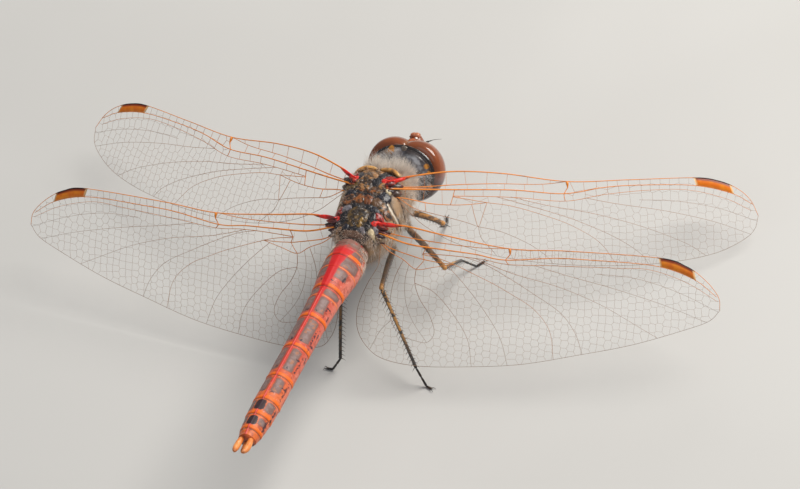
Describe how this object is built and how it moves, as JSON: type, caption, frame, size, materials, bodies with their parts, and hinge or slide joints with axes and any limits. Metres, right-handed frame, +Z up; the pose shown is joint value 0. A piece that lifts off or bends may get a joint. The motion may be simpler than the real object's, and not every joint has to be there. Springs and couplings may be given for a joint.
{
  "type": "dragonfly model",
  "caption": "Life-size still model of a red male meadowhawk dragonfly standing at rest with its wings lowered and its tail raised.",
  "frame": {"origin": "centre of the whole part's footprint box, on the floor under the feet", "axes": "+X to the animal's left, along the wingspan; +Y towards its tail; +Z up"},
  "size_m": [0.0632, 0.042, 0.0144],
  "materials": {
    "eye": "gloss, red-brown above and grey-lavender below",
    "head": "matte near-black shell with a silver-grey crown and yellow spots",
    "face": "satin tan-red shell",
    "thorax": "brown hairy shell with pale stripes and yellow spots",
    "abdomen": "satin red and orange shell with grey-white patches",
    "cercus": "satin peach-orange shell",
    "wing": "clear membrane with brown and orange veins",
    "leg": "satin black shell with an ochre stripe"
  },
  "bodies": {
    "root": {"abdomen_01": "abdomen", "abdomen_02": "abdomen", "abdomen_03": "abdomen", "abdomen_04": "abdomen", "abdomen_05": "abdomen", "abdomen_06": "abdomen", "abdomen_07": "abdomen", "abdomen_08": "abdomen", "abdomen_09": "abdomen", "abdomen_10": "abdomen", "antenna_left": "leg", "antenna_right": "leg", "cercus_left": "cercus", "cercus_right": "cercus", "coxa_fore_left": "leg", "coxa_fore_right": "leg", "coxa_hind_left": "leg", "coxa_hind_right": "leg", "coxa_mid_left": "leg", "coxa_mid_right": "leg", "epiproct": "cercus", "eye_left": "eye", "eye_right": "eye", "face": "face", "femur_fore_left": "leg", "femur_fore_right": "leg", "femur_hind_left": "leg", "femur_hind_right": "leg", "femur_mid_left": "leg", "femur_mid_right": "leg", "head": "head", "mesonotum": "thorax", "metanotum": "thorax", "mouthparts": "face", "prothorax": "thorax", "tarsus_fore_left": "leg", "tarsus_fore_right": "leg", "tarsus_hind_left": "leg", "tarsus_hind_right": "leg", "tarsus_mid_left": "leg", "tarsus_mid_right": "leg", "thorax": "thorax", "tibia_fore_left": "leg", "tibia_fore_right": "leg", "tibia_hind_left": "leg", "tibia_hind_right": "leg", "tibia_mid_left": "leg", "tibia_mid_right": "leg", "wing_fore_left": "wing", "wing_fore_right": "wing", "wing_hind_left": "wing", "wing_hind_right": "wing"}
  },
  "joints": []
}
